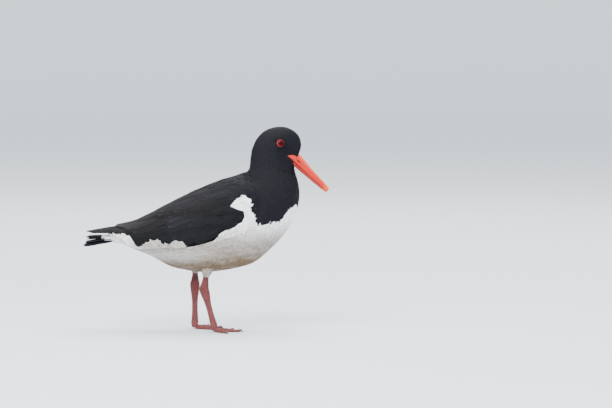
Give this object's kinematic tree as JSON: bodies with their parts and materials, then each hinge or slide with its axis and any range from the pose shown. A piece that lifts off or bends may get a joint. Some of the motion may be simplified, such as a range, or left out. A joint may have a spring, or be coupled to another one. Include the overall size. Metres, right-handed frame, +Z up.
{
  "type": "oystercatcher",
  "caption": "Standing black-and-white wading bird, life size, with a long straight bill, folded wings of overlapping feathers, a short tail and bare legs on flat feet.",
  "frame": {"origin": "on the floor between the feet, under the middle of the bird's overall box", "axes": "+X towards the head and bill, +Y to the bird's left side, +Z up"},
  "size_m": [0.344, 0.1012, 0.2862],
  "materials": {
    "black_plumage": "satin blue-black feathers",
    "brown_black_plumage": "matte brownish black feathers",
    "white_plumage": "matte white feathers",
    "bill_horn": "satin orange-red horn",
    "iris": "wet, glossy red",
    "eye_ring": "bare orange-red skin",
    "leg_skin": "scaled pink skin",
    "claw_horn": "dark horn"
  },
  "bodies": {
    "root": {"rump": "white_plumage", "mantle": "black_plumage", "breast": "black_plumage", "belly": "white_plumage", "neck": "black_plumage", "head": "black_plumage", "bill_upper": "bill_horn", "bill_lower": "bill_horn", "eye_right": "iris", "eye_left": "iris", "eyelid_right": "eye_ring", "eyelid_left": "eye_ring", "wing_right": "brown_black_plumage", "wing_left": "brown_black_plumage", "tail": "black_plumage", "thigh_right": "white_plumage", "thigh_left": "white_plumage", "leg_right": "leg_skin", "leg_left": "leg_skin", "foot_right": "leg_skin", "foot_left": "leg_skin", "claw_right_inner": "claw_horn", "claw_right_middle": "claw_horn", "claw_right_outer": "claw_horn", "claw_left_inner": "claw_horn", "claw_left_middle": "claw_horn", "claw_left_outer": "claw_horn"}
  },
  "joints": []
}
